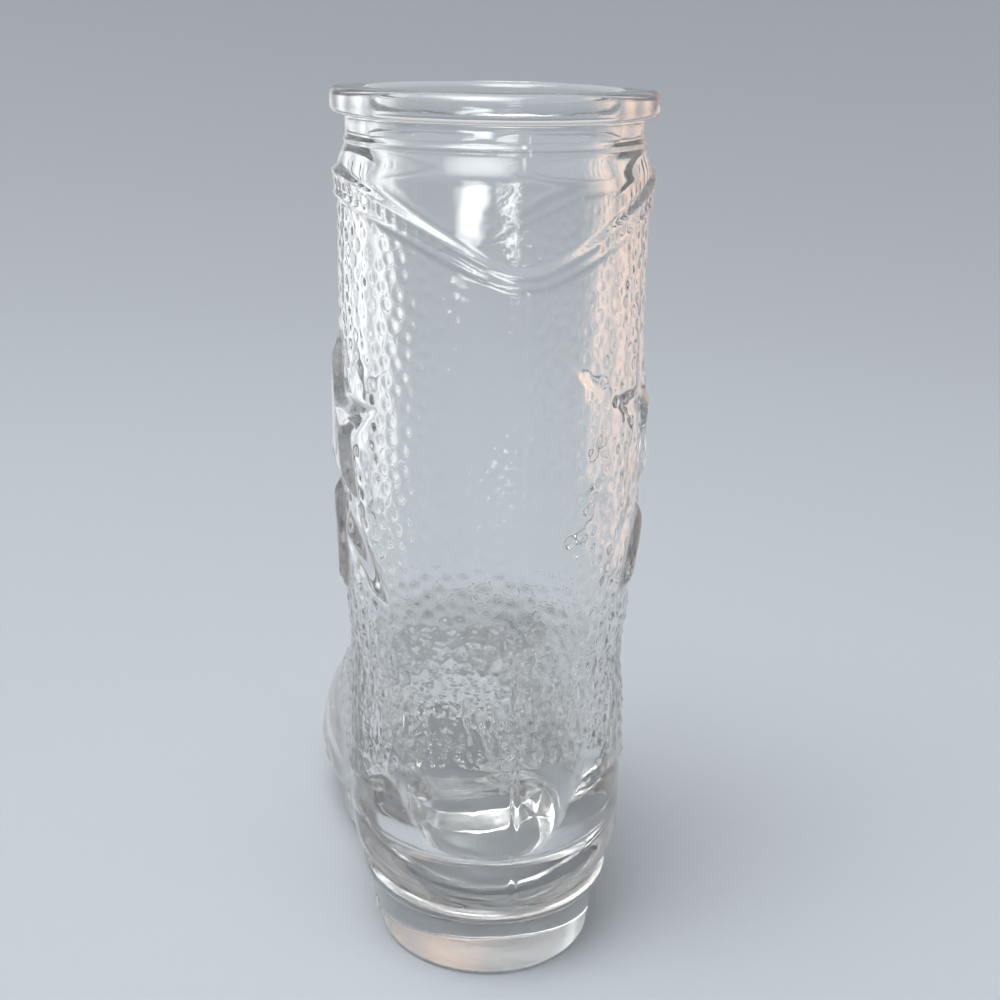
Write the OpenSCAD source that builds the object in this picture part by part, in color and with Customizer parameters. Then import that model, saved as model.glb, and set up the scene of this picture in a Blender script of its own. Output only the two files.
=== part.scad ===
// Boot shot glass: a clear glass boot that stands on its heel and the front of its sole.
// The shaft's axis is the Z axis, the toe points along +Y and the floor is Z = 0.
// The real glass is one moulding. Its regions are separate solids here, and they meet face to face.

/* [Rim and collar] */
// Height from the floor to the top of the rim
glass_h = 102.5; // [99:0.5:110]
// Outer radius of the rolled rim
rim_r = 18; // [17.6:0.1:18.8]
// Height of the rolled rim
rim_h = 2.9; // [2.6:0.1:3.6]
// Rounding of the rim's outer edges
rim_round = 0.9; // [0.5:0.1:1.2]
// Rounding of the rim's inner lip
lip_round = 0.7; // [0.4:0.1:1]
// Outer radius of the neck under the rim
neck_r = 16.4; // [16:0.1:16.8]
// Height of the neck
neck_h = 2.3; // [1.8:0.1:2.8]
// How far the fine step at the foot of the neck stands out
neck_step = 0.2; // [0.1:0.1:0.4]
// Height over which the collar flares out to the shaft
flare_h = 3.6; // [3:0.1:4]

/* [Shaft] */
// Outer radius of the shaft
shaft_r = 17.4; // [17.2:0.1:17.6]
// Radius of the drink well in the shaft
well_r = 14.2; // [13.4:0.1:14.4]
// Height of the ankle, where the shaft meets the foot
ankle_z = 44; // [42:1:47]
// Radius of the ankle
ankle_r = 16.9; // [16.6:0.1:17.1]
// Height above the ankle at which the shaft has its full radius
ankle_rise = 16; // [12:1:20]

/* [Scalloped trim] */
// Distance from the top of the rim down to the trim's centre line at the sides
trim_drop = 9.9; // [9.6:0.1:11]
// How far the trim drops further, to its point at the back and the front
trim_dip = 8.6; // [6:0.2:10]
// Width of the trim at the sides
trim_w = 2.9; // [2.4:0.1:3.2]
// Width of the trim at its points
trim_point_w = 1.6; // [1.2:0.1:2.4]
// How far the trim stands out from the shaft
trim_proud = 0.5; // [0.3:0.1:0.7]

/* [Side reliefs] */
// How far the reliefs stand out from the shaft
relief_proud = 0.9; // [0.5:0.1:1.1]
// Height of the star's centre
star_z = 66; // [64:0.5:67]
// Radius to the star's points
star_r = 10.4; // [8:0.2:11]
// Radius to the star's notches, as a share of the radius to its points
star_notch = 0.42; // [0.36:0.01:0.5]
// Width of a leaf under the star
leaf_w = 4.6; // [3.4:0.2:5]
// How far the outer leaves lean out, in degrees
leaf_lean = 36; // [30:1:40]

/* [Foot] */
// How far the toe reaches in front of the shaft's axis
toe_y = 60; // [56:1:64]
// Half width of the foot at the heel
foot_w = 16.5; // [16.2:0.1:17]
// How much the edge of the upper is drawn in where it meets the sole
feather_tuck = 2; // [1.6:0.1:2.4]
// How far the back of the heel stands out behind the ankle
heel_bulge = 1.3; // [0.8:0.1:1.6]
// How much the ankle is drawn in above the foot
ankle_pinch = 0.5; // [0.2:0.1:0.8]
// How much the ball of the foot swells out, as a share of its width
ball_swell = 0.13; // [0.06:0.01:0.15]
// Squareness of the toe: 2 is an ellipse and 4 is almost a box
toe_power = 3.3; // [2.6:0.1:3.6]
// Height of the upper's edge at the heel
heel_seat_z = 9.8; // [9.4:0.1:10.6]
// Height of the upper's edge under the ball of the foot
ball_seat_z = 3; // [2.6:0.1:3.6]
// Height of the drink well's floor above the sole
floor_t = 0.8; // [0.6:0.1:1.6]
// How much the well narrows in a round bowl at its floor
bowl_t = 4.6; // [3.6:0.2:5.4]

/* [Sole and heel] */
// How far the sole's edge stands out past the upper
welt = 0.8; // [0.6:0.1:1.1]
// Height of the heel
heel_h = 8.3; // [7.8:0.1:8.6]
// Radius of the heel's back at the floor
heel_r = 13.2; // [12.8:0.1:13.6]
// How much wider the heel is where it meets the sole
heel_flare = 1.6; // [1.2:0.1:1.8]
// How far behind the shaft's axis the heel's centre lies
heel_back = 1.3; // [1:0.1:1.5]
// Distance from the shaft's axis to the heel's front face
breast_y = 5; // [4:0.5:6]
// Rise of the sole at the tip of the toe
toe_spring = 0.9; // [0.4:0.1:1.4]

/* [Hidden] */
$fn = 96;

clear_glass = [0.84, 0.91, 0.93, 0.6];
bright_glass = [0.94, 0.97, 0.98, 0.7];

// Heights that follow from the driving dimensions
rim_z = glass_h - rim_h;
neck_z = rim_z - neck_h;
flare_z = neck_z - flare_h;
trim_z = glass_h - trim_drop;
wall = ankle_r - well_r;
leaf_top_z = star_z - 0.62 * star_r;
leaf_l = leaf_top_z - ankle_z - 1;

// The sole's side view: where the arch starts and ends, and where the toe starts to rise
arch_start_y = breast_y + 1;
arch_end_y = 28;
spring_y = 48;
reach = 100;

// Steps of the curves, and rows and columns of the foot's two skins
curve_steps = 10;
ring_points = 64;
skin_rows = 20;
well_rows = 14;

function lerp(a, b, t) = a + (b - a) * t;
function clamp01(t) = min(1, max(0, t));
function ease(t) = let (u = clamp01(t)) u * u * (3 - 2 * u);
function bump(y, centre, width) = exp(-pow((y - centre) / width, 2));
function steps(from, to, n) = [for (i = [0 : n]) lerp(from, to, i / n)];
function backwards(list) = [for (i = [len(list) - 1 : -1 : 0]) list[i]];

// Radius of the shaft and of the collar at a height
function shaft_at(z) = lerp(ankle_r, shaft_r, ease((z - ankle_z) / ankle_rise));
function collar_at(z) = lerp(shaft_r, neck_r, ease((z - flare_z) / flare_h));

// The shaft's outline as [r, z] from the ankle up to where it has its full radius
function shaft_side(proud) =
    [for (z = steps(ankle_z, ankle_z + ankle_rise, curve_steps)) [shaft_at(z) + proud, z]];

// Height of the trim's centre line: a V with a soft point, seen along the foot
trim_soft = 4;
trim_slope = trim_dip / (norm([shaft_r, trim_soft]) - trim_soft);
function trim_line(x) = trim_z - trim_dip + trim_slope * (norm([x, trim_soft]) - trim_soft);
function trim_half(x) = lerp(trim_point_w, trim_w, min(1, abs(x) / shaft_r)) / 2;
function trim_points(side) = [for (x = steps(-24, 24, 24)) [x, trim_line(x) + side * trim_half(x)]];

// Heights along the foot: the upper's lower edge, and the underside of the sole
function toe_rise(y) = toe_spring * pow(clamp01((y - spring_y) / (toe_y - spring_y)), 2);
function seat_z(y) = lerp(heel_seat_z, ball_seat_z, ease(y / 32)) + toe_rise(y);
function arch_share(y) = ease((y - arch_start_y) / (arch_end_y - arch_start_y));
function under_z(y) = lerp(heel_h, 0, arch_share(y)) + toe_rise(y);

// Reach of the foot at a share t of the way from its lower edge up to the ankle
function tuck(t) = feather_tuck * pow(1 - clamp01(t / 0.16), 2);
function pinch(t) = ankle_pinch * pow(sin(180 * clamp01((t - 0.6) / 0.4)), 2);
function half_width(t) = lerp(foot_w, ankle_r, t) - tuck(t) - pinch(t);
function reach_back(t) = half_width(t) + heel_bulge * pow(1 - t, 2);
function vamp_share(t) = (1 + cos(180 * pow(t, 1.15))) / 2;
function reach_front(t) = lerp(ankle_r, toe_y, vamp_share(t)) - 0.5 * tuck(t);

// The ball of the foot swells out over the sole, and its waist is narrower
function ball(y, t) = ball_swell * bump(y, 38, 16) * ease(t / 0.15) * (1 - ease(t));
function waist(y, t) = 0.05 * bump(y, 15, 10) * (1 - ease(t));
function swell(y, t) = 1 + ball(y, t) - waist(y, t);

// One point of a closed foot section, which is round at the heel and squarer at the toe
function section_point(a, t, grow) =
    let (s = sin(a), c = cos(a))
    let (n = s > 0 ? lerp(toe_power, 2, ease(t)) : 2)
    let (y = s * ((s > 0 ? reach_front(t) : reach_back(t)) + grow))
    let (x = pow(max(0, 1 - pow(abs(s), n)), 1 / n) * (half_width(t) + grow))
    [sign(c) * x * swell(y, t), y];
function section(t, grow) = [for (i = [0 : ring_points - 1]) section_point(360 * i / ring_points, t, grow)];

// A section set at its height, raised by a lift that fades out at the ankle
function ring(t, grow, lift) = [for (p = section(t, grow)) [p.x, p.y, lerp(seat_z(p.y) + lift, ankle_z, t)]];

// How far the well lies inside the outer skin: a round bowl at the floor, then an even wall
function bowl(t) = 1 - sqrt(1 - pow(1 - clamp01(t / 0.55), 2));
function well_inset(t) = wall + bowl_t * bowl(t) + 1.2 * pow(1 - t, 2);

// Triangles between a ring of n points and the next one, and across the ring that closes a skin
function band(k, n) = [
    for (i = [0 : n - 1])
        let (a = k * n + i, b = k * n + (i + 1) % n)
        each [[a, b + n, b], [a, a + n, b + n]]
];
function cap(k, n, up) = [
    for (i = [-n / 4 : n / 4 - 1])
        let (a = k * n + (i + n) % n, b = k * n + (i + 1 + n) % n)
        let (d = k * n + n / 2 - i, e = k * n + n / 2 - i - 1)
        each concat(a == d ? [] : [up ? [d, b, a] : [a, b, d]],
                    b == e ? [] : [up ? [d, e, b] : [b, e, d]])
];

// A prism along Y through points given as [x, z]
module along_y(points) {
    rotate([90, 0, 0])
        linear_extrude(height = 2 * reach, center = true)
            polygon(points);
}

// A prism along X through points given as [y, z]
module along_x(points) {
    rotate([90, 0, 90])
        linear_extrude(height = 2 * reach, center = true)
            polygon(points);
}

// The rolled rim, with round edges outside and a round lip inside
module rim_bead() {
    color(bright_glass)
        rotate_extrude() {
            translate([well_r, rim_z])
                square([rim_r - rim_round - well_r, rim_h - lip_round]);
            translate([well_r + lip_round, rim_z])
                square([rim_r - rim_round - well_r - lip_round, rim_h]);
            translate([well_r + lip_round, rim_z + rim_round])
                square([rim_r - well_r - lip_round, rim_h - 2 * rim_round]);
            translate([well_r + lip_round, glass_h - lip_round])
                circle(r = lip_round);
            translate([rim_r - rim_round, glass_h - rim_round])
                circle(r = rim_round);
            translate([rim_r - rim_round, rim_z + rim_round])
                circle(r = rim_round);
        }
}

// The smooth collar from the neck down to the middle of the trim
module collar() {
    color(clear_glass)
        intersection() {
            rotate_extrude()
                polygon(concat(
                    [[well_r, rim_z], [well_r, trim_z - trim_dip - 5], [shaft_r, trim_z - trim_dip - 5]],
                    [for (z = steps(flare_z, neck_z - 0.6, 6)) [collar_at(z), z]],
                    [[neck_r + neck_step, neck_z - 0.4], [neck_r + neck_step, neck_z]],
                    [[neck_r, neck_z], [neck_r, rim_z]]));
            along_y(concat(trim_points(0), [[24, glass_h], [-24, glass_h]]));
        }
}

// The raised scalloped band over the joint of the collar and the shaft
module scallop_trim() {
    color(bright_glass)
        intersection() {
            translate([0, 0, trim_z - trim_dip - 5])
                difference() {
                    cylinder(h = trim_dip + 12, r = shaft_r + trim_proud);
                    translate([0, 0, -1])
                        cylinder(h = trim_dip + 14, r = shaft_r);
                }
            along_y(concat(trim_points(-1), backwards(trim_points(1))));
        }
}

// The stippled shaft from the ankle up to the middle of the trim
module shaft() {
    color(clear_glass)
        intersection() {
            rotate_extrude()
                polygon(concat(
                    [[well_r, trim_z + 4], [well_r, ankle_z]],
                    shaft_side(0),
                    [[shaft_r, trim_z + 4]]));
            along_y(concat(trim_points(0), [[24, 0], [-24, 0]]));
        }
}

module leaf(length, width) {
    r = (length * length + width * width) / (4 * width);
    intersection() {
        translate([r - width / 2, -length / 2])
            circle(r = r);
        translate([width / 2 - r, -length / 2])
            circle(r = r);
    }
}

// A star above a spray of three leaves, drawn as [y, z]
module motif() {
    translate([0, star_z])
        polygon([for (i = [0 : 9]) let (r = i % 2 == 0 ? star_r : star_r * star_notch)
            [r * sin(36 * i), r * cos(36 * i)]]);
    translate([0, leaf_top_z])
        leaf(leaf_l, leaf_w);
    for (side = [-1, 1])
        translate([side * 3.2, leaf_top_z - 3.4])
            rotate([0, 0, side * leaf_lean])
                leaf(leaf_l * 0.82, leaf_w * 0.86);
}

// The motif raised on one side of the shaft
module star_relief(side) {
    color(bright_glass)
        difference() {
            intersection() {
                rotate_extrude()
                    polygon(concat(
                        [[0, ankle_z + 40], [0, ankle_z]],
                        shaft_side(relief_proud),
                        [[shaft_r + relief_proud, ankle_z + 40]]));
                translate([side > 0 ? 10 : -20, 0, 0])
                    rotate([90, 0, 90])
                        linear_extrude(height = 10)
                            motif();
            }
            rotate_extrude()
                polygon(concat(
                    [[0, ankle_z + 41], [0, ankle_z - 1], [ankle_r, ankle_z - 1]],
                    shaft_side(0),
                    [[shaft_r, ankle_z + 41]]));
        }
}

module star_relief_left() {
    star_relief(-1);
}

module star_relief_right() {
    star_relief(1);
}

// The foot's outer skin rises from the sole to the ankle, and its inner skin goes down to the well's floor
module foot() {
    outer = [for (t = steps(0, 1, skin_rows)) ring(t, 0, 0)];
    inner = [for (t = steps(1, 0, well_rows)) ring(t, -well_inset(t), floor_t)];
    rings = concat(outer, inner);
    last = len(rings) - 1;
    color(clear_glass)
        polyhedron(
            points = [for (r = rings) each r],
            faces = concat([for (k = [0 : last - 1]) each band(k, ring_points)],
                           cap(0, ring_points, false),
                           cap(last, ring_points, true)));
}

// The sole, whose edge is the welt that stands out round the foot
module sole() {
    top = concat([-reach], steps(0, 32, curve_steps), steps(spring_y, toe_y + 1, 5));
    under = concat([-reach], steps(arch_start_y, arch_end_y, curve_steps), steps(spring_y, toe_y + 1, 5));
    color(bright_glass)
        intersection() {
            linear_extrude(height = 30)
                polygon(section(0, welt));
            along_x(concat([for (y = top) [y, seat_z(y)]], backwards([for (y = under) [y, under_z(y)]])));
        }
}

// The solid heel, which narrows to the floor and has a hollowed front face
module heel() {
    color(clear_glass)
        difference() {
            translate([0, -heel_back, 0])
                cylinder(h = heel_h, r1 = heel_r, r2 = heel_r + heel_flare);
            translate([0, breast_y + 40, -1])
                cylinder(h = heel_h + 2, r = 40);
        }
}

rim_bead();
collar();
scallop_trim();
shaft();
star_relief_left();
star_relief_right();
foot();
sole();
heel();
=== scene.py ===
# %% [markdown]
# # A shot glass in the shape of a boot
#
# The real object is one piece of clear glass, pressed in a two-part mould. It has a rolled rim, a
# smooth collar that ends in a V-shaped band, a stippled leg with a raised design on each side, and
# a smooth foot on a sole and a solid heel.
#
# A solid model of it already exists. It gives every size and place here, and this lesson gives the
# glass its fine surface, its material and its light. Sizes of the glass are written in millimetres
# and multiplied by `mm` where Blender needs metres. Lamps are placed in metres.

# %% Load the solid model
import math
import random

import bmesh
import bpy
import numpy as np
from mathutils import Matrix, Vector, kdtree


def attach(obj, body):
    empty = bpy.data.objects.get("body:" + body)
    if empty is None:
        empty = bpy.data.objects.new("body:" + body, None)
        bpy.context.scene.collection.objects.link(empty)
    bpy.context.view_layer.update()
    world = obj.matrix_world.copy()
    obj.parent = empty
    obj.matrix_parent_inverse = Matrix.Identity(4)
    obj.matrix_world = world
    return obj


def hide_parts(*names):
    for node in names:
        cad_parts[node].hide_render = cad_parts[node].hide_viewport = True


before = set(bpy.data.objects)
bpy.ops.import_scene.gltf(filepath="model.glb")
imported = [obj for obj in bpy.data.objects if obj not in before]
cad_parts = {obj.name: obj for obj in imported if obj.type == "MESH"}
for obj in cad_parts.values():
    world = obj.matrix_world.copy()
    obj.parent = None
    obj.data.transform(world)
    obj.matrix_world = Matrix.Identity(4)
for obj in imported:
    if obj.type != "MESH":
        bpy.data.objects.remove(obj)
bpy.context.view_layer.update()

mm = 0.001

# %% [markdown]
# ## The camera
#
# The camera stands close behind the heel, a little to the left, and looks down at the glass. Its
# place and its lens come from fitting the outline of the solid model to the picture, so they are
# set first: everything after this is judged through it. A turn about its own axis, the roll, comes
# last.

# %% Camera
stand = Vector((-33.86, -165.57, 109.0)) * mm
heading = Matrix.Rotation(math.radians(-12), 4, "Z")
looking_down = Matrix.Rotation(math.radians(90 - 17.6), 4, "X")
roll = Matrix.Rotation(math.radians(1.0), 4, "Z")

bpy.ops.object.select_all(action="DESELECT")
bpy.ops.object.camera_add(location=stand, rotation=(heading @ looking_down @ roll).to_euler())
camera = bpy.context.object
camera.name = "camera"
camera.data.sensor_width = 36
camera.data.lens = 54
camera.data.clip_start = 0.005
bpy.context.scene.camera = camera
print("camera stands", round(stand.length / mm), "mm from the foot of the leg's axis")

# %% [markdown]
# ## The curves of the glass
#
# The leg is round, so one profile of radius against height describes it. The foot isn't round: at
# each share `t` of the way up from the sole to the ankle it has a closed section, round at the heel
# and squarer at the toe. These are the same curves as in the solid model, so the skin drawn here
# lies on it.

# %% Helpers for curves
def lerp(a, b, t):
    return a + (b - a) * t


def ease(t):
    u = np.clip(t, 0, 1)
    return u * u * (3 - 2 * u)


def bump(y, centre, width):
    return np.exp(-(((y - centre) / width) ** 2))


def arc(centre, radius, start, end, steps):
    turns = [math.radians(lerp(start, end, i / steps)) for i in range(steps + 1)]
    return [(centre[0] + radius * math.cos(a), centre[1] + radius * math.sin(a)) for a in turns]


print("a quarter of the way along, an eased step has come", ease(0.25))

# %% The leg's radius at a height
ankle_z, flare_z, neck_z, rim_z, top_z = 44.0, 93.7, 97.3, 99.6, 102.5
ankle_r, shaft_r, neck_r, rim_r, well_r = 16.9, 17.4, 16.4, 17.995, 14.2
calf_h = 16  # the leg widens over this height above the ankle
ground = 0.15  # between the pebbles the skin lies this far under the smooth part


def flare(z):
    return ease((z - flare_z) / (neck_z - flare_z))


def leg_at(z):
    full = lerp(ankle_r, shaft_r, ease((z - ankle_z) / calf_h))
    return np.minimum(full, lerp(shaft_r, neck_r, flare(z))) - ground * (1 - flare(z))


print("leg radius at the ankle and at 70 mm:", leg_at(ankle_z), leg_at(70.0))

# %% Heights along the foot
toe_y, foot_w, welt, heel_h, floor_t = 60.0, 16.5, 0.8, 8.3, 0.8
toe_lift, toe_from = 0.9, 48  # the toe curls up a little
seat_back, seat_front, seat_run = 9.8, 3.0, 32  # where the foot meets the sole
arch_from, arch_run = 6, 22  # the underside comes down from the heel to the floor


def toe_rise(y):
    return toe_lift * np.clip((y - toe_from) / (toe_y - toe_from), 0, 1) ** 2


def seat_z(y):
    return lerp(seat_back, seat_front, ease(y / seat_run)) + toe_rise(y)


def under_z(y):
    return lerp(heel_h, 0, ease((y - arch_from) / arch_run)) + toe_rise(y)


print("the foot meets the sole", seat_z(0.0), "mm up at the heel, and", seat_z(40.0), "at the ball")

# %% Outline of the foot
tuck_in, tuck_top = 2.0, 0.16  # the foot draws in just above the welt
pinch_in, pinch_from, pinch_run = 0.5, 0.6, 0.4  # and a little below the ankle
heel_out, instep = 1.3, 1.15


def tuck(t):
    return tuck_in * (1 - np.clip(t / tuck_top, 0, 1)) ** 2


def half_width(t):
    pinch = pinch_in * np.sin(np.pi * np.clip((t - pinch_from) / pinch_run, 0, 1)) ** 2
    return lerp(foot_w, ankle_r, t) - tuck(t) - pinch


def reach_back(t):
    return half_width(t) + heel_out * (1 - t) ** 2


def reach_front(t):
    share = (1 + np.cos(np.pi * np.clip(t, 0, 1) ** instep)) / 2
    return lerp(ankle_r, toe_y, share) - 0.5 * tuck(t)


def reach(y, t):
    return np.where(y > 0, reach_front(t), reach_back(t))


print("above the welt the foot reaches from", -reach_back(0.0), "to", reach_front(0.0), "mm")

# %% The foot's sections
columns = 328  # points round every ring of the skin
turn = 2 * np.pi * np.arange(columns) / columns
ellipse, toe_square = 2.0, 3.3
ball_out, ball_y, ball_l, ball_from = 0.13, 38, 16, 0.15
waist_in, waist_y, waist_l = 0.05, 15, 10


def squareness(t, front):
    return np.where(front, lerp(toe_square, ellipse, ease(t)), ellipse)


def swell(y, t):
    ball = ball_out * bump(y, ball_y, ball_l) * ease(t / ball_from) * (1 - ease(t))
    waist = waist_in * bump(y, waist_y, waist_l) * (1 - ease(t))
    return 1 + ball - waist


def section(t, grow):
    s, c = np.sin(turn), np.cos(turn)
    n = squareness(t, s > 0)
    y = s * (reach(s, t) + grow)
    x = np.maximum(0, 1 - np.abs(s) ** n) ** (1 / n) * (half_width(t) + grow)
    side = np.where(np.abs(c) < 1e-9, 0, np.sign(c))
    return side * x * swell(y, t), y


x, y = section(0.0, welt)
print("sole:", round(2 * x.max(), 1), "mm wide and", round(y.max() - y.min(), 1), "mm long")

# %% [markdown]
# ## The leg: one profile, spun round
#
# A pressed glass is round about the axis of its plunger, so the leg, the collar, the rolled rim and
# the drink well are drawn as one line and spun. The line starts as a plane that is merged into a
# single point, and each extrusion adds the next point of the profile: up the outside, over the rim
# and down into the well. Making it all one skin matters for glass, because light must meet just two
# surfaces, the outer and the inner one, and no hidden wall between two pieces.

# %% Draw the profile
rim_round, lip_round, nook_round = 0.9, 0.7, 0.35
stipple_top, flare_top = 93.2, 96.6
stipple_rows = np.linspace(ankle_z, stipple_top, 137)
flare_rows = np.linspace(stipple_top, flare_top, 12)[1:]
neck_step = [(16.58, 96.9), (16.63, 97.05), (16.58, 97.22), (16.42, 97.36)]

profile = [(float(leg_at(z)), float(z)) for z in np.concatenate([stipple_rows, flare_rows])]
profile += neck_step + [(neck_r, 97.9), (neck_r, 98.6)]
profile += arc((neck_r + nook_round, rim_z - nook_round), nook_round, 180, 90, 3)
profile += arc((rim_r - rim_round, rim_z + rim_round), rim_round, -90, 0, 5)
profile += arc((rim_r - rim_round, top_z - rim_round), rim_round, 0, 90, 5)
profile += [(16.4, top_z), (15.6, top_z)]  # the flat top of the rim
profile += arc((well_r + lip_round, top_z - lip_round), lip_round, 90, 180, 4)
profile += [(well_r, float(z)) for z in np.linspace(100, ankle_z, 15)]
print("profile of", len(profile), "points")


# %% Trace it, point by point
def edit(piece):
    if bpy.context.mode != "OBJECT":
        bpy.ops.object.mode_set(mode="OBJECT")
    bpy.ops.object.select_all(action="DESELECT")
    piece.select_set(True)
    bpy.context.view_layer.objects.active = piece
    bpy.ops.object.mode_set(mode="EDIT")


def trace(name, line):
    bpy.ops.object.select_all(action="DESELECT")
    bpy.ops.mesh.primitive_plane_add(size=mm, location=Vector((line[0][0], 0, line[0][1])) * mm)
    piece = bpy.context.object
    piece.name = name
    bpy.ops.object.transform_apply(location=True, rotation=True, scale=True)
    edit(piece)
    bpy.ops.mesh.select_mode(type="VERT")
    bpy.ops.mesh.select_all(action="SELECT")
    bpy.ops.mesh.merge(type="CENTER")
    for (r0, z0), (r1, z1) in zip(line, line[1:]):
        step = Vector((r1 - r0, 0, z1 - z0)) * mm
        bpy.ops.mesh.extrude_region_move(TRANSFORM_OT_translate={"value": step})
    return piece


glass = trace("boot_glass", profile)
print(glass.name, "starts as a line")

# %% Spin it
merge_gap = 1e-6


def spin_round(piece, steps):
    bpy.ops.mesh.select_all(action="SELECT")
    bpy.ops.mesh.spin(steps=steps, angle=2 * math.pi, center=(0, 0, 0), axis=(0, 0, 1))
    bpy.ops.mesh.select_all(action="SELECT")
    bpy.ops.mesh.remove_doubles(threshold=merge_gap)
    return len(bmesh.from_edit_mesh(piece.data).verts)


leg_points = spin_round(glass, columns)
print("spun leg:", leg_points, "points")

# %% [markdown]
# ## The foot: rings pulled down from the ankle
#
# The leg ends in an open ring of edges at the ankle. Extruding that ring again and again, and
# sliding each new ring onto the next section of the foot, pulls the foot out of the leg with no
# seam between them. No operator knows a boot's section, so the new points are placed by the curves
# above. The last rings swing out and back in as the rounded welt, the bright line round the edge of
# the sole.

# %% Find a ring and choose its edges
def ring_at(piece, height, low, high):
    edit(piece)
    mesh = bmesh.from_edit_mesh(piece.data)
    mesh.verts.ensure_lookup_table()
    found = {}
    for v in mesh.verts:
        radius = math.hypot(v.co.x, v.co.y) / mm
        if abs(v.co.z / mm - height) < 0.01 and low < radius < high:
            found[round(math.atan2(v.co.y, v.co.x) / (2 * math.pi) * columns) % columns] = v.index
    return [found[i] for i in range(columns)]


def choose_edges(piece, pairs):
    bpy.ops.mesh.select_mode(type="EDGE")
    bpy.ops.mesh.select_all(action="DESELECT")
    mesh = bmesh.from_edit_mesh(piece.data)
    mesh.verts.ensure_lookup_table()
    for a, b in pairs:
        mesh.edges.get((mesh.verts[a], mesh.verts[b])).select_set(True)
    bmesh.update_edit_mesh(piece.data)


ankle_ring = ring_at(glass, ankle_z, low=15.5, high=18)
print("ring at the ankle:", len(ankle_ring), "points")

# %% Extrude a ring along its course
def pull_ring(piece, ring, course):
    choose_edges(piece, [(ring[i - 1], ring[i]) for i in range(columns)])
    place = {index: i for i, index in enumerate(ring)}
    for points in course:
        before = len(bmesh.from_edit_mesh(piece.data).verts)
        bpy.ops.mesh.extrude_region_move()
        mesh = bmesh.from_edit_mesh(piece.data)
        mesh.verts.index_update()
        mesh.verts.ensure_lookup_table()
        fresh = {}
        for v in mesh.verts[before:]:
            beside = [e.other_vert(v).index for e in v.link_edges]
            i = next(place[index] for index in beside if index in place)
            v.co = Vector([float(p[i]) * mm for p in points])
            fresh[v.index] = i
        bmesh.update_edit_mesh(piece.data)
        place = fresh
    return sorted(place, key=place.get)


def foot_ring(t):
    x, y = section(t, -ground * ease((t - 0.25) / 0.45))
    return x, y, lerp(seat_z(y), ankle_z, t)


def welt_ring(q):
    side = math.sqrt(1 - (2 * q - 1) ** 2)
    out = welt * side if q < 0.5 else lerp(welt_under, welt, side)
    x, y = section(0.0, out)
    return x, y, lerp(seat_z(y), under_z(y), q)


welt_under = 0.25  # how far the welt's lower edge still stands out
spans = ((1, 0.34, 44), (0.34, 0.16, 8), (0.16, 0, 10))  # from, to, and rings with both ends
shares = [t for start, end, count in spans for t in np.linspace(start, end, count)[1:]]
course = [foot_ring(float(t)) for t in shares]
course += [welt_ring(float(q)) for q in np.linspace(0, 1, 9)[1:]]
sole_ring = pull_ring(glass, ankle_ring, course)
print("foot and welt:", len(course), "rings")

# %% [markdown]
# ## Closing the sole, and the heel
#
# The sole is closed like a ladder: its left and right edges are bridged with rungs, and the two
# small gaps at the toe and the heel are filled. The rungs near the heel's front face are then
# pushed back in a shallow curve, because that face is hollowed on the real heel. The heel is a
# block of solid glass: the faces behind that curve are inset and extruded to the floor in steps,
# each scaled in a little more. The last steps follow a quarter circle, so that the edge that the
# glass stands on is round.

# %% Close a ring with rungs
def close_ring(piece, ring, rungs):
    quarter = columns // 4
    right = ring[3 * quarter + 1:] + ring[:quarter]
    left = ring[quarter + 1:3 * quarter]
    before = len(bmesh.from_edit_mesh(piece.data).verts)
    choose_edges(piece, list(zip(right, right[1:])) + list(zip(left, left[1:])))
    bpy.ops.mesh.bridge_edge_loops(type="SINGLE", number_cuts=rungs, interpolation="LINEAR")
    for tip, beside, side in ((quarter, quarter - 1, 1), (3 * quarter, 3 * quarter + 1, -1)):
        mesh = bmesh.from_edit_mesh(piece.data)
        mesh.verts.index_update()
        mesh.verts.ensure_lookup_table()
        end, wide = mesh.verts[ring[tip]], mesh.verts[ring[beside]]
        gap = []
        for e in mesh.edges:
            level = all(abs(v.co.z - end.co.z) < mm for v in e.verts)
            beyond = all(side * (v.co.y - wide.co.y) > -1e-5 for v in e.verts)
            if e.is_boundary and level and beyond:
                gap.append((e.verts[0].index, e.verts[1].index))
        choose_edges(piece, gap)
        bpy.ops.mesh.edge_face_add()
    return before


breast_y, breast_w, hollow = 8.48, 14.9, 3.3  # the heel's front face: place, half width, depth
first_rung = close_ring(glass, sole_ring, rungs=12)
mesh = bmesh.from_edit_mesh(glass.data)
mesh.verts.ensure_lookup_table()
for v in mesh.verts[first_rung:]:
    x, y = v.co.x / mm, v.co.y / mm
    curve = hollow * max(0, 1 - (x / breast_w) ** 2)
    v.co.y = (y - curve * float(bump(y, breast_y, 6))) * mm
    v.co.z = float(under_z(v.co.y / mm)) * mm
bmesh.update_edit_mesh(glass.data)
print("sole closed with", len(mesh.verts) - first_rung, "points on its rungs")

# %% The seat of the heel
def choose_faces(piece, test):
    bpy.ops.mesh.select_mode(type="FACE")
    bpy.ops.mesh.select_all(action="DESELECT")
    mesh = bmesh.from_edit_mesh(piece.data)
    for face in mesh.faces:
        face.select_set(test(face.calc_center_median() / mm, face.normal))
    bmesh.update_edit_mesh(piece.data)
    return sum(face.select for face in mesh.faces)


def breast(x):
    return breast_y - hollow * (1 - (x / breast_w) ** 2)


def heel_seat(middle, normal):
    level = abs(normal.z) > 0.9 and abs(middle.z - heel_h) < 0.35
    return level and abs(middle.x) < 15.2 and middle.y < breast(middle.x)


seat_faces = choose_faces(glass, heel_seat)
print("heel seat:", seat_faces, "faces")

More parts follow.
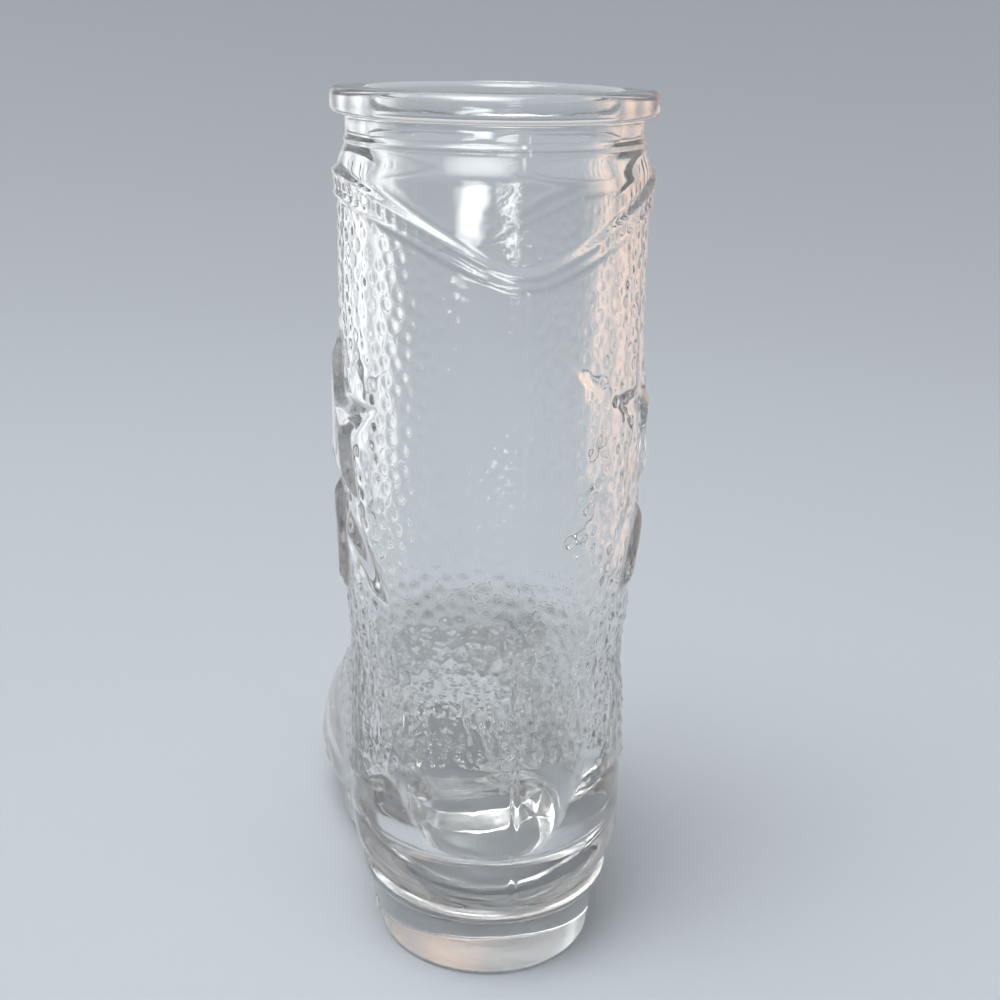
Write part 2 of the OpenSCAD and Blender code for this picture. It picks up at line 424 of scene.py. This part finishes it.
# %% Heel
heel_y, low_share = -1.3, 0.9  # the taper's axis, and the heel's scale near the floor
edge_h, edge_in = 0.9, 0.065  # the round edge at the floor
taper = [(heel_h - 0.25, 0.985), (7.0, 0.965), (4.0, 0.93), (1.0, low_share)]  # level and scale
for across, up in arc((0.0, 1.0), 1.0, 0, -90, 6)[1:]:
    taper.append((edge_h * up, low_share - edge_in * (1 - across)))

bpy.ops.mesh.inset(thickness=0.03 * mm, depth=0)
size = 1.0
for level, share in taper:
    bpy.ops.mesh.extrude_region_move(TRANSFORM_OT_translate={"value": (0, 0, -0.1 * mm)})
    shrink, middle = share / size, (0, heel_y * mm, level * mm)
    bpy.ops.transform.resize(value=(shrink, shrink, 0), center_override=middle)
    size = share
lowest = min(v.co.z for v in bmesh.from_edit_mesh(glass.data).verts)
print("heel stands at", round(lowest / mm, 3), "mm")

# %% [markdown]
# ## The bottom of the well
#
# The plunger that pressed the glass left a round-bottomed hollow, which runs a short way into the
# foot. Seen from behind it is the bright U in the thick glass of the heel. It is pulled down from
# the inner ring of the ankle in the same way, with rings that come closer as the bowl turns flat,
# and closed.

# %% Pull the well
bowl_top, bowl_in, well_taper = 0.55, 4.6, 1.2


def well_ring(t):
    bowl = 1 - math.sqrt(1 - (1 - min(1, t / bowl_top)) ** 2)
    x, y = section(t, -(ankle_r - well_r + bowl_in * bowl + well_taper * (1 - t) ** 2))
    return x, y, lerp(seat_z(y) + floor_t, ankle_z, t)


course = [well_ring(float(u) ** 2) for u in np.linspace(1, 0, 25)[1:]]
well_floor = pull_ring(glass, ring_at(glass, ankle_z, low=13, high=15), course)
close_ring(glass, well_floor, rungs=5)
bpy.ops.mesh.select_all(action="SELECT")
bpy.ops.mesh.remove_doubles(threshold=merge_gap)
bpy.ops.mesh.normals_make_consistent(inside=False)
mesh = bmesh.from_edit_mesh(glass.data)
print("open edges left:", sum(not e.is_manifold for e in mesh.edges))
bpy.ops.object.mode_set(mode="OBJECT")
print("glass has", len(glass.data.vertices), "points")

# %% [markdown]
# ## Where the leg is stippled
#
# The stipple covers the leg from the V-shaped band down to a hem. The hem is high at the back of
# the heel, low at the sides and high again over the instep, as the leather of a real boot is cut.
# For any point of the skin these helpers give its share `t` of the way up the foot, how far it lies
# above the hem, and where the band runs, so that each point can be given its height further on.

# %% Place on the skin
band_side_z, band_drop, band_round = 92.6, 8.6, 4
band_narrow, band_wide = 1.6, 2.9  # at the points of the V and at the sides
slope = band_drop / (math.hypot(shaft_r, band_round) - band_round)
hem_side, hem_front, hem_back = 0.357, 0.62, 0.56  # shares of the way up the foot
far = 50.0  # stands for a distance that doesn't matter


def band_line(x):
    return band_side_z - band_drop + slope * (np.hypot(x, band_round) - band_round)


def band_half(x):
    return lerp(band_narrow, band_wide, np.minimum(1, np.abs(x) / shaft_r)) / 2


def share_up(y, z):
    return np.clip((z - seat_z(y)) / (ankle_z - seat_z(y)), 0, 1)


def above_hem(y, z):
    t = share_up(y, z)
    along = np.clip(np.abs(y) / reach(y, t), 0, 1)
    hem = lerp(hem_side, np.where(y > 0, hem_front, hem_back), ease(along))
    return np.where(z > ankle_z, far, (t - hem) * (ankle_z - seat_z(y)))


def is_skin(x, y, z):
    t = share_up(y, z)
    n = squareness(t, y > 0)
    foot = (np.abs(x) / (half_width(t) * swell(y, t))) ** n + (np.abs(y) / reach(y, t)) ** n
    return np.where(z > ankle_z, np.hypot(x, y) > 15.6, foot > 0.9)


print("the band runs from", band_side_z, "mm up at the sides to", band_line(0.0), "at its points")

# %% [markdown]
# ## The raised design, the band, the pebbles and the seam
#
# Everything raised on the leg was cut into the mould as a shallow picture, so it can be raised here
# from one map of heights. A vertex group holds the height of each point, and a Displace modifier
# lifts the skin along its normals by that much. A texture could do the same, but weights worked out
# from the real distances give clean edges: a star over three leaves on each side, two ridges with
# beads between them along the band, the thin line where the two halves of the mould met, and
# pebbles strewn at an even distance from each other.

# %% Distances to the star and the leaves
star_z, star_r, star_notch = 66.0, 10.4, 0.42
leaf_top, leaf_l, leaf_w = 59.55, 14.55, 4.6
side_out, side_drop, side_lean, side_l, side_w = 3.2, 3.4, math.radians(36), 0.82, 0.86


def to_polygon(y, z, corners):
    best = np.full_like(y, 1e9)
    inside = np.zeros(y.shape, bool)
    for (ay, az), (by, bz) in zip(corners, corners[1:] + corners[:1]):
        ey, ez, wy, wz = by - ay, bz - az, y - ay, z - az
        share = np.clip((wy * ey + wz * ez) / (ey * ey + ez * ez), 0, 1)
        best = np.minimum(best, np.hypot(wy - ey * share, wz - ez * share))
        crosses = ((az > z) != (bz > z)) & (wy < ey * wz / (ez if ez else 1e-9))
        inside ^= crosses
    return np.where(inside, -best, best)


def to_leaf(y, z, root, lean, length, width):
    c, s, dy, dz = math.cos(lean), math.sin(lean), y - root[0], z - root[1]
    u, w = c * dy + s * dz, -s * dy + c * dz + length / 2
    r = (length * length + width * width) / (4 * width)
    return np.maximum(np.hypot(u - r + width / 2, w), np.hypot(u + r - width / 2, w)) - r


def to_design(y, z):
    corners = []
    for i in range(10):
        tip, a = star_r * (star_notch if i % 2 else 1), i * math.pi / 5
        corners.append((tip * math.sin(a), star_z + tip * math.cos(a)))
    near = np.minimum(to_polygon(y, z, corners), to_leaf(y, z, (0, leaf_top), 0, leaf_l, leaf_w))
    for side in (-1, 1):
        root = (side * side_out, leaf_top - side_drop)
        leaf = to_leaf(y, z, root, side * side_lean, side_l * leaf_l, side_w * leaf_w)
        near = np.minimum(near, leaf)
    return near


star_middle = to_design(np.zeros(1), np.full(1, star_z))[0]
print("the star's middle lies", round(-star_middle, 2), "mm inside its edge")

# %% Which points are stippled
points = np.empty(len(glass.data.vertices) * 3)
glass.data.vertices.foreach_get("co", points)
points = points.reshape(-1, 3) / mm
x, y, z = points.T
skin = is_skin(x, y, z)
hem_gap = above_hem(y, z)
band_gap = (z - band_line(x)) / band_half(x)  # 1 at the band's upper edge and -1 at its lower one
design_gap = np.where(np.abs(x) > 9, to_design(y, z), far)
off_seam = np.abs(np.arctan2(x, np.abs(y))) > 0.03
pebbled = skin & off_seam & (hem_gap > 0.6) & (band_gap < -1.45) & (design_gap > 0.75)
print("points where a pebble may stand:", int(pebbled.sum()))

# %% Strew the pebbles
small_r, large_r = 0.7, 0.86
faint, crisp, bold = 0.007, 0.135, 0.18  # heights in the middle, at the sides and near the hem
apart, cells, pebbles = 1.5, {}, []
chance = random.Random(7)
order = np.flatnonzero(pebbled).tolist()
chance.shuffle(order)
near_by = [(a, b, c) for a in (-1, 0, 1) for b in (-1, 0, 1) for c in (-1, 0, 1)]
for i in order:
    p = points[i]
    home = tuple(int(v // apart) for v in p)
    around = [(home[0] + a, home[1] + b, home[2] + c) for a, b, c in near_by]
    taken = [j for cell in around for j in cells.get(cell, ())]
    if all(np.sum((points[j] - p) ** 2) >= apart * apart for j in taken):
        cells.setdefault(home, []).append(i)
        low = float(ease((66 - p[2]) / 22))
        sideways = float(ease((abs(p[0]) - 4.5) / 7.5))
        radius = lerp(small_r, large_r, low) * chance.uniform(0.92, 1.08)
        rise = lerp(lerp(faint, crisp, sideways), bold, low) * chance.uniform(0.8, 1.1)
        pebbles.append((i, radius, rise))
print("pebbles:", len(pebbles))

# %% Heights of the pebbles and the hem
lip_side, lip_back, lip_fade = 0.4, 0.18, 3.0


def tree_of(places):
    tree = kdtree.KDTree(len(places))
    for k, spot in enumerate(places):
        tree.insert(spot, k)
    tree.balance()
    return tree


pebble_tree = tree_of([points[i] for i, _, _ in pebbles])
height = np.zeros(len(points))
for i in np.flatnonzero(skin & (hem_gap > -0.6) & (band_gap < -1)):
    _, k, distance = pebble_tree.find(points[i])
    _, radius, rise = pebbles[k]
    height[i] = rise * max(0.0, 1 - (distance / radius) ** 2) ** 2
leg = ease((hem_gap + 0.25) / 0.6) * (band_gap < 0) * skin
lip = lerp(lip_side, lip_back, ease(-y / 16))
height = height * leg + leg * lip * np.exp(-np.maximum(0, hem_gap) / lip_fade) * (z < ankle_z)
print("pebbles and hem stand up to", round(height.max(), 2), "mm over the ground")

# %% Heights of the band, the design and the seam
band_rise, ridge_rise, ridge_at, ridge_w = 0.3, 0.24, 0.82, 0.28
design_rise, seam_rise, seam_half = 1.02, 0.16, 0.33

ridges = bump(band_gap, ridge_at, ridge_w) + bump(band_gap, -ridge_at, ridge_w)
band = band_rise * ease((1.35 - np.abs(band_gap)) / 0.4) + ridge_rise * np.minimum(1, ridges)
band *= lerp(1, 0.4, ease(y / 10)) * lerp(0.5, 1, ease((np.abs(x) - 2) / 8))
upper = skin & (z > 75)
height = np.where(upper, np.maximum(height * (band_gap < -1.2), band), height)
height += ground * (1 - flare(z)) * ease(band_gap + 0.5) * upper

relief = design_rise * ease((0.2 - design_gap) / 1.5)
height = np.where(skin, np.maximum(height, relief), height)

seam = seam_rise * np.clip(1 - np.abs(x) / seam_half, 0, 1) * skin * (z > 12) * (z < 98)
height = np.maximum(height, seam)
print("the highest point stands", round(height.max(), 2), "mm over the ground")

# %% Beads in the band
beads, bead_apart, bead_r, bead_rise = [], 1.5, 0.62, 0.18
first_bead, last_bead = math.radians(4), math.radians(62)  # as turns from the side of the leg
for quarter in range(4):
    a = first_bead
    while a < last_bead:
        bx = shaft_r * math.cos(a) * (1 if quarter % 2 else -1)
        by = shaft_r * math.sin(a) * (1 if quarter < 2 else -1)
        beads.append((bx, by, float(band_line(bx))))
        a += bead_apart / shaft_r * math.cos(math.atan(slope * math.sin(a)))
bead_tree = tree_of(beads)
for i in np.flatnonzero(skin & (np.abs(band_gap) < 1) & (z > 80)):
    _, _, distance = bead_tree.find(points[i])
    behind = float(ease(1 - y[i] / 5))
    height[i] += bead_rise * behind * max(0.0, 1 - (distance / bead_r) ** 2)
print("beads in the band:", len(beads))

# %% Lift the skin
def lift(piece, name, weights, strength, texture=None):
    group = piece.vertex_groups.new(name=name)
    for i in np.flatnonzero(weights > 1e-4):
        group.add([int(i)], float(weights[i]), "REPLACE")
    bpy.ops.object.select_all(action="DESELECT")
    piece.select_set(True)
    bpy.context.view_layer.objects.active = piece
    bpy.ops.object.modifier_add(type="DISPLACE")
    raised = piece.modifiers[-1]
    raised.vertex_group = name
    raised.strength = strength
    raised.mid_level = 0.5 if texture else 0
    if texture:
        raised.texture = texture
        raised.texture_coords = "LOCAL"
    bpy.ops.object.modifier_apply(modifier=raised.name)


tallest = float(height.max())
lift(glass, "raised", height / tallest, tallest * mm)
print("skin lifted by up to", round(tallest, 2), "mm")

# %% Ripple the well
in_leg = (z > ankle_z) & (np.hypot(x, y) < 14.5)
in_foot = (z < ankle_z) & (z > 12) & ~skin
ripple = bpy.data.textures.new("plunger ripple", "CLOUDS")
ripple.noise_scale = 9 * mm
lift(glass, "well", (in_leg | in_foot).astype(float), 0.09 * mm, ripple)
bpy.ops.object.shade_smooth_by_angle(angle=math.radians(62))
print("glass has", sum(len(p.vertices) - 2 for p in glass.data.polygons), "triangles")

# %% Where the finest grain lies
fine_grain = leg * ease((50 - z) / 10) * (design_gap > 0.5)
grain = glass.data.attributes.new("fine_grain", "FLOAT", "POINT")
grain.data.foreach_set("value", fine_grain.astype(np.float32))
print("points with fine grain:", int((fine_grain > 0).sum()))

# %% [markdown]
# ## Clear pressed glass
#
# Clear glass has no colour of its own: nearly all light goes through, bent by the index of
# refraction, and a little is mirrored. What tells pressed glass from a perfect lens is its skin. It
# is slightly wavy from the mould, a little less polished in patches, and scuffed where it stands.
# So the transmission and the index are plain numbers on the shader, and only the roughness, a faint
# tint and a fine bump vary. The glass also swallows a little of the light that runs a long way in
# it, which draws the dark lines along its edges, and a Volume Absorption node does the same.
#
# Between the pebbles near the hem the stipple is finer than the mesh can carry, so small domes are
# added there to the bump, where the attribute `fine_grain` of the skin allows them.

# %% Shader maths
class Wire:
    """A value in a node tree. Sums of wires add Math nodes to the tree."""

    def __init__(self, tree, socket=None):
        self.tree, self.socket = tree, socket

    def node(self, kind, settings=None, inputs=None):
        made = self.tree.nodes.new(kind)
        for key, value in (settings or {}).items():
            if key == "stops":
                for stop, (place, colour) in zip(made.color_ramp.elements, value):
                    stop.position, stop.color = place, colour
            else:
                setattr(made, key, value)
        for key, value in (inputs or {}).items():
            if isinstance(value, Wire):
                self.tree.links.new(value.socket, made.inputs[key])
            else:
                made.inputs[key].default_value = value
        return made

    def get(self, kind, output, settings=None, inputs=None):
        return Wire(self.tree, self.node(kind, settings, inputs).outputs[output])

    def sum(self, operation, a, b):
        return self.get("ShaderNodeMath", 0, {"operation": operation}, {0: a, 1: b})

    def __add__(self, other):
        return self.sum("ADD", self, other)

    def __radd__(self, other):
        return self.sum("ADD", other, self)

    def __rsub__(self, other):
        return self.sum("SUBTRACT", other, self)

    def __mul__(self, other):
        return self.sum("MULTIPLY", self, other)

    def __rmul__(self, other):
        return self.sum("MULTIPLY", other, self)


print("a wire can be added, multiplied, and taken from a number")

# %% The skin of the glass
finish = bpy.data.materials.new("clear_pressed_glass")
finish.use_nodes = True
finish.node_tree.nodes.clear()
paper = Wire(finish.node_tree)
place = paper.get("ShaderNodeTexCoord", "Object")


def noise(scale, detail):
    settings = {"Vector": place, "Scale": scale, "Detail": detail}
    return paper.get("ShaderNodeTexNoise", 0, inputs=settings)


high = paper.get("ShaderNodeSeparateXYZ", "Z", inputs={"Vector": place})
waves, patches, scuffs = noise(260.0, 2.0), noise(90.0, 3.0), noise(2600.0, 4.0)
standing = paper.get("ShaderNodeMapRange", 0, {"interpolation_type": "SMOOTHSTEP"},
                     {0: high, 1: 0.0012, 2: 0.0001, 3: 0.0, 4: 1.0})
rough = 0.004 + 0.02 * patches + standing * (0.06 + 0.2 * scuffs)
tint = paper.get("ShaderNodeMix", "Result", {"data_type": "RGBA"},
                 {"Factor": patches, "A": (0.985, 0.995, 0.99, 1), "B": (1, 1, 1, 1)})
fine = paper.get("ShaderNodeAttribute", "Fac", {"attribute_name": "fine_grain"})
dots = paper.get("ShaderNodeTexVoronoi", "Distance", inputs={"Vector": place, "Scale": 1050.0})
dome = paper.sum("MAXIMUM", 1 - 3.4 * dots * dots, 0.0)
skin_bump = paper.get("ShaderNodeBump", "Normal", inputs={
    "Strength": 1.0, "Distance": 0.0004, "Height": 0.12 * waves + 0.22 * fine * dome * dome})
print("patterns in the skin:", len(finish.node_tree.nodes), "nodes")

# %% Glass
clear = paper.get("ShaderNodeBsdfPrincipled", 0, inputs={
    "Base Color": tint, "Roughness": rough, "Normal": skin_bump,
    "IOR": 1.5, "Transmission Weight": 1.0})
depth = paper.get("ShaderNodeVolumeAbsorption", 0, inputs={
    "Color": (0.745, 0.74, 0.73, 1), "Density": 32.0})
paper.node("ShaderNodeOutputMaterial", inputs={"Surface": clear, "Volume": depth})
glass.data.materials.clear()
glass.data.materials.append(finish)
print("glass material with", len(finish.node_tree.nodes), "nodes")

# %% [markdown]
# ## Taking the place of the solids
#
# The solid model has nine regions of glass. They stay for weight and contact, and this one skin is
# shown instead of them, because a wall between two regions would show inside clear glass.

# %% Put the glass in the frame
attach(glass, "root")
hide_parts("rim_bead", "collar", "scallop_trim", "shaft", "star_relief_left",
            "star_relief_right", "foot", "sole", "heel")
print(glass.name, "stands for", len(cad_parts), "solids")

# %% [markdown]
# ## Floor, lamps and sky
#
# Glass shows only what stands round it, so the light makes the picture. A plain pale floor curves
# up into a backdrop, lit from above. A low lamp left of the camera mirrors as the bright patch on
# the collar. Two lamps stand close behind the glass, a white one on the left and a warm one on the
# right, and light its edges. Each has a dark bar down its middle, as a window has, so that every
# pebble shows light and dark. These near lamps would light the floor in patches, so light linking
# keeps them on the glass, as a flag does in a studio. All lamps fade towards their edges. The sky
# is pale ahead and darker overhead.

# %% Floor
sweep = [(0.0, -0.1), (200.0, -0.1)] + arc((400.0, 1499.9), 1500, -90, -42, 20)
floor = trace("floor", sweep)
floor_points = spin_round(floor, 96)
bpy.ops.mesh.normals_make_consistent(inside=True)
bpy.ops.object.mode_set(mode="OBJECT")
bpy.ops.object.shade_smooth()
paint = bpy.data.materials.new("pale_floor")
paint.use_nodes = True
base = paint.node_tree.nodes["Principled BSDF"]
base.inputs["Base Color"].default_value = (0.5, 0.54, 0.58, 1)
base.inputs["Roughness"].default_value = 0.7
floor.data.materials.append(paint)
print("floor sweep:", floor_points, "points, painted", paint.name)

# %% A lamp that fades towards its edges
flagged = bpy.data.collections.new("lit_by_flagged_lamps")
flagged.objects.link(glass)


def lamp(name, stand, aim, size, power, colour, receivers=None, tilt=0, bar=0):
    bpy.ops.object.select_all(action="DESELECT")
    facing = (Vector(aim) - Vector(stand)).to_track_quat("-Z", "Y").to_matrix().to_4x4()
    turn_to = (facing @ Matrix.Rotation(math.radians(tilt), 4, "Z")).to_euler()
    bpy.ops.object.light_add(type="AREA", location=stand, rotation=turn_to)
    light = bpy.context.object
    light.name = name
    light.data.shape = "RECTANGLE"
    light.data.size, light.data.size_y = size
    light.data.energy = power
    light.light_linking.receiver_collection = receivers
    light.data.use_nodes = True
    light.data.node_tree.nodes.clear()
    cloth = Wire(light.data.node_tree)
    spot = cloth.get("ShaderNodeNewGeometry", "Parametric")
    across = cloth.get("ShaderNodeSeparateXYZ", "X", inputs={"Vector": spot})
    along = cloth.get("ShaderNodeSeparateXYZ", "Y", inputs={"Vector": spot})
    sash = cloth.get("ShaderNodeMath", 0, {"operation": "COSINE"}, {0: 4 * math.pi * across})
    glow = 16 * across * (1 - across) * along * (1 - along) * (1 - bar / 2 * (1 + sash))
    shine = cloth.get("ShaderNodeEmission", 0, inputs={"Color": (*colour, 1), "Strength": glow})
    cloth.node("ShaderNodeOutputLight", inputs={"Surface": shine})
    print(name, "of", power, "W")


# %% Lamps
white, cream, warm = (1, 1, 1), (1, 0.99, 0.98), (1, 0.57, 0.32)
middle, collar, tall = (0, 0, 0.06), (0, 0, 0.08), (0.18, 0.2)
lamp("window", (-0.175, -0.365, 0.051), collar, (0.2, 0.045), 0.42, white, flagged, tilt=10)
lamp("left_softbox", (-0.083, 0.14, 0.075), middle, tall, 0.12, cream, flagged, bar=0.8)
lamp("warm_softbox", (0.133, 0.094, 0.075), middle, tall, 0.09, warm, flagged, bar=0.8)
lamp("high_softbox", (-0.25, -0.6, 0.8), (0, 0, 0.05), (0.9, 0.9), 26, white, flagged)
lamp("top_softbox", (-0.3, -0.3, 1.2), (0, 0, 0), (1.3, 1.3), 38, white)

# %% Sky
world = bpy.data.worlds.new("studio")
bpy.context.scene.world = world
world.use_nodes = True
world.node_tree.nodes.clear()
sky = Wire(world.node_tree)
way = sky.get("ShaderNodeTexCoord", "Generated")
up = sky.get("ShaderNodeSeparateXYZ", "Z", inputs={"Vector": way})
ahead = sky.get("ShaderNodeSeparateXYZ", "Y", inputs={"Vector": way})
pale, dusky = (1.0, 1.0, 1.0, 1), (0.15, 0.15, 0.16, 1)
shade = sky.get("ShaderNodeValToRGB", "Color", {"stops": [(0.0, pale), (1.0, dusky)]},
                {"Fac": 0.9 * up + 0.2 * (1 - ahead)})
light = sky.get("ShaderNodeBackground", 0, inputs={"Color": shade, "Strength": 1.0})
sky.node("ShaderNodeOutputWorld", inputs={"Surface": light})
bpy.context.scene.view_settings.view_transform = "Standard"
print("sky from", pale[:3], "ahead to", dusky[:3], "overhead")

# %% [markdown]
# ## How far light is followed
#
# In thick glass a ray is thrown back from wall to wall many times before it leaves. Blender stops
# following it after twelve turns and calls it black, which speckles the glass with dark spots that
# a real one doesn't have. Following it further lets that light out again.

# %% Light paths
paths = bpy.context.scene.cycles
paths.max_bounces = paths.transmission_bounces = paths.glossy_bounces = 24
print("light is followed for", paths.max_bounces, "turns")
